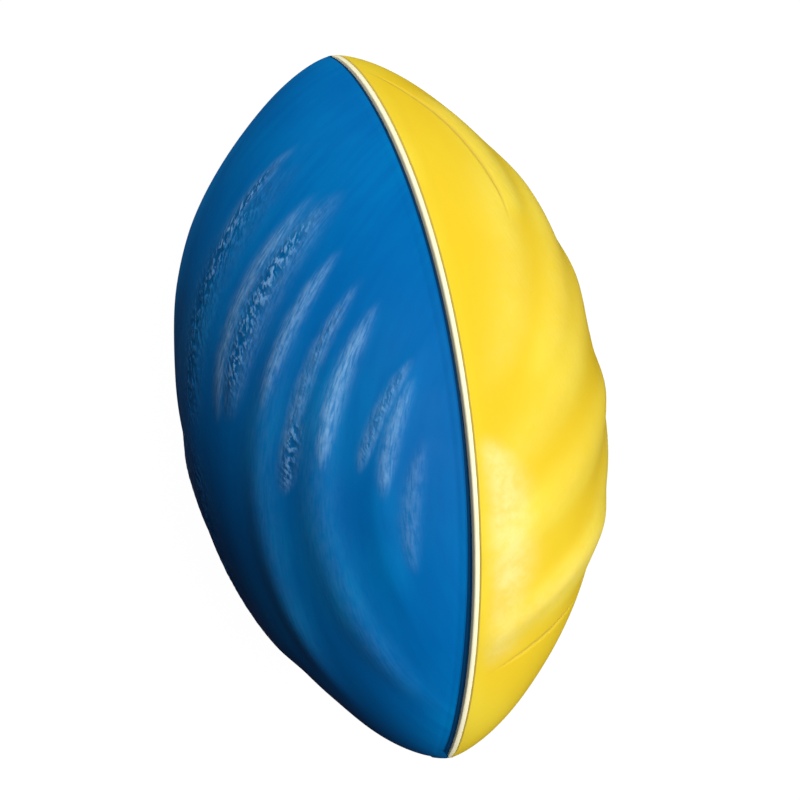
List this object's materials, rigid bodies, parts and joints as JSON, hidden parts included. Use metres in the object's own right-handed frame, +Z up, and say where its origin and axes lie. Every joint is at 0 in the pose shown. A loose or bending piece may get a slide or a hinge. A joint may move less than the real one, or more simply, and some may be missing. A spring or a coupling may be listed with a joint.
{
  "type": "training bumper",
  "caption": "Football-shaped soft throw bumper with slanting flutes, a blue half and a yellow half bonded on a thin cream web that shows as a seam line.",
  "frame": {"origin": "the middle of the ball, on its long axis and in the plane of the seam", "axes": "the ball lies on its side: +Y along the long axis to one tip, +X out through the middle of the yellow half, +Z up through the middle of one seam"},
  "size_m": [0.1448, 0.2404, 0.1441],
  "materials": {
    "blue_skin": "satin moulded skin with fine wrinkles",
    "yellow_skin": "satin moulded skin with fine wrinkles",
    "cream_web": "smooth cream closed-cell foam sheet",
    "core_foam": "matt open-grained foam"
  },
  "bodies": {
    "root": {"blue_half_skin": "blue_skin", "yellow_half_skin": "yellow_skin", "seam_web": "cream_web", "blue_side_core": "core_foam", "yellow_side_core": "core_foam"}
  },
  "joints": []
}
